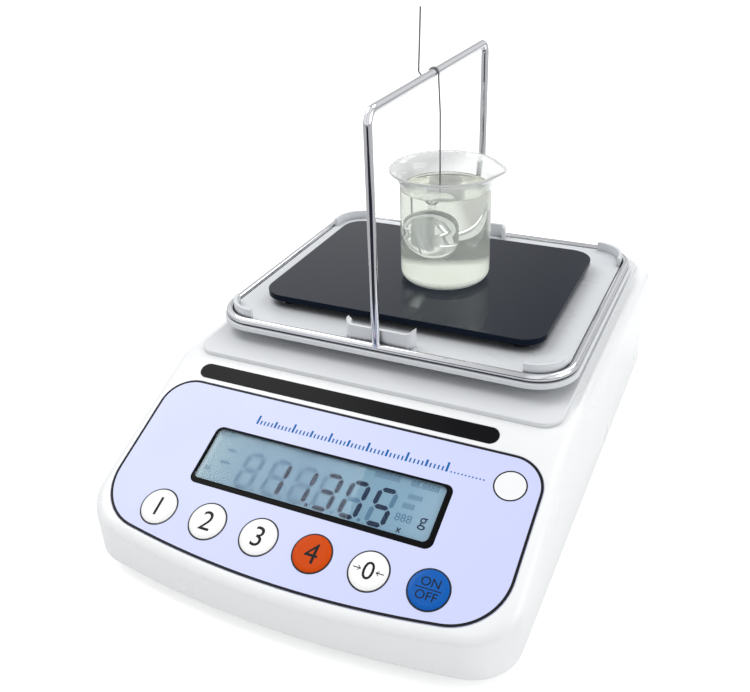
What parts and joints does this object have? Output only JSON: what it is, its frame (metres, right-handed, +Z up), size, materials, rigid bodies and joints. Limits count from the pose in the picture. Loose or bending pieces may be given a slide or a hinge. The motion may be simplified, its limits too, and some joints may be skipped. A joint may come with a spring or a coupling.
{
  "type": "benchtop density meter",
  "caption": "Bench balance with a sloping keypad and display, a gantry over its weighing pan, and a glass sinker hung in a beaker on a bridge platform to measure density.",
  "frame": {"origin": "bottom centre of the whole object's box, on the table under its middle", "axes": "+X to the user's right, +Y from the keypad to the back, +Z up"},
  "size_m": [0.22, 0.323, 0.2393],
  "materials": {
    "casing_white": "fine moulded satin white",
    "base_plastic": "plain moulded",
    "screw_steel": "zinc plated",
    "brass": "turned",
    "overlay_film": "fine textured film",
    "strip_black": "smooth black film",
    "display_black": "smooth black",
    "display_clear": "clear hard-coated pane",
    "lcd_glass": "segment display",
    "backlight": "diffuser block",
    "circuit_board": "solder mask",
    "board_parts": "moulded packages",
    "key_white": "satin",
    "key_orange": "satin",
    "key_blue": "satin",
    "deck_grey": "fine texture",
    "pan_grey": "fine texture",
    "chrome_rod": "bright chrome",
    "spring_steel": "drawn wire",
    "sinker_glass": "blown glass",
    "platform_black": "polished black",
    "platform_leg": "moulded",
    "rubber": "soft",
    "beaker_glass": "borosilicate glass",
    "sample": "pale clear liquid",
    "cell_aluminium": "machined",
    "carrier_cast": "cast and machined",
    "foot_plastic": "moulded",
    "socket_black": "moulded",
    "socket_steel": "plated shell",
    "lead_jacket": "jacketed lead"
  },
  "bodies": {
    "housing": {"top_cover": "casing_white", "base_shell": "base_plastic", "cover_screws": "screw_steel", "control_overlay": "overlay_film", "label_strip": "strip_black", "display_frame": "display_black", "display_window": "display_clear", "lcd_panel": "lcd_glass", "lcd_backlight": "backlight", "panel_board": "circuit_board", "key_switches": "board_parts", "deck_plate": "deck_grey", "platform_plate": "platform_black", "platform_legs": "platform_leg", "platform_pads": "rubber", "beaker": "beaker_glass", "sample_liquid": "sample", "load_cell": "cell_aluminium", "load_cell_mount": "cell_aluminium", "load_cell_bolts": "screw_steel", "overload_stop": "screw_steel", "main_board": "circuit_board", "main_board_parts": "board_parts", "dc_jack": "socket_black", "serial_port": "socket_steel", "load_cell_lead": "lead_jacket", "panel_ribbon": "lead_jacket", "board_screws": "screw_steel", "foot_inserts": "brass"},
    "weighing_pan": {"carrier_arm": "carrier_cast", "carrier_bolts": "screw_steel", "pan_stem": "carrier_cast", "pan_cross": "carrier_cast", "pan_pads": "rubber", "pan": "pan_grey", "frame_loop": "chrome_rod", "frame_gantry": "chrome_rod"},
    "hook": {"hook_wire": "spring_steel"},
    "sinker": {"sinker": "sinker_glass"},
    "key_1": {"key_1": "key_white"},
    "key_2": {"key_2": "key_white"},
    "key_3": {"key_3": "key_white"},
    "key_4": {"key_4": "key_orange"},
    "key_zero": {"key_zero": "key_white"},
    "key_power": {"key_power": "key_blue"},
    "foot_front_left": {"foot_front_left": "foot_plastic", "foot_pad_front_left": "rubber"},
    "foot_front_right": {"foot_front_right": "foot_plastic", "foot_pad_front_right": "rubber"},
    "foot_back_left": {"foot_back_left": "foot_plastic", "foot_pad_back_left": "rubber"},
    "foot_back_right": {"foot_back_right": "foot_plastic", "foot_pad_back_right": "rubber"}
  },
  "joints": [
    {"name": "pan_deflection", "type": "slide", "parent": "housing", "child": "weighing_pan", "axis": [0, 0, 1], "range_m": [-0.0005, 0], "stiffness_N_per_m": 20000, "springref_m": 0.0003, "deforming": ["load_cell", "sample_liquid"]},
    {"name": "hook_swing", "type": "hinge", "parent": "weighing_pan", "child": "hook", "pos_m": [0, 0.046, 0.207], "axis": [0, 1, 0], "range_deg": [-2.5, 2.5], "deforming": ["sample_liquid"]},
    {"name": "sinker_swing", "type": "hinge", "parent": "hook", "child": "sinker", "pos_m": [0.0014, 0.046, 0.1377], "axis": [1, 0, 0], "range_deg": [-5, 5], "deforming": ["sample_liquid"]},
    {"name": "key_1_press", "type": "slide", "parent": "housing", "child": "key_1", "axis": [0, 0.3891, -0.9212], "range_m": [0, 0.0004], "stiffness_N_per_m": 5000},
    {"name": "key_2_press", "type": "slide", "parent": "housing", "child": "key_2", "axis": [0, 0.3891, -0.9212], "range_m": [0, 0.0004], "stiffness_N_per_m": 5000},
    {"name": "key_3_press", "type": "slide", "parent": "housing", "child": "key_3", "axis": [0, 0.3891, -0.9212], "range_m": [0, 0.0004], "stiffness_N_per_m": 5000},
    {"name": "key_4_press", "type": "slide", "parent": "housing", "child": "key_4", "axis": [0, 0.3891, -0.9212], "range_m": [0, 0.0004], "stiffness_N_per_m": 5000},
    {"name": "key_zero_press", "type": "slide", "parent": "housing", "child": "key_zero", "axis": [0, 0.3891, -0.9212], "range_m": [0, 0.0004], "stiffness_N_per_m": 5000},
    {"name": "key_power_press", "type": "slide", "parent": "housing", "child": "key_power", "axis": [0, 0.3891, -0.9212], "range_m": [0, 0.0004], "stiffness_N_per_m": 5000},
    {"name": "foot_front_left_turn", "type": "hinge", "parent": "housing", "child": "foot_front_left", "pos_m": [-0.09, -0.1255, 0], "axis": [0, 0, 1], "continuous": true},
    {"name": "foot_front_right_turn", "type": "hinge", "parent": "housing", "child": "foot_front_right", "pos_m": [0.09, -0.1255, 0], "axis": [0, 0, 1], "continuous": true},
    {"name": "foot_back_left_turn", "type": "hinge", "parent": "housing", "child": "foot_back_left", "pos_m": [-0.09, 0.1375, 0], "axis": [0, 0, 1], "continuous": true},
    {"name": "foot_back_right_turn", "type": "hinge", "parent": "housing", "child": "foot_back_right", "pos_m": [0.09, 0.1375, 0], "axis": [0, 0, 1], "continuous": true}
  ]
}
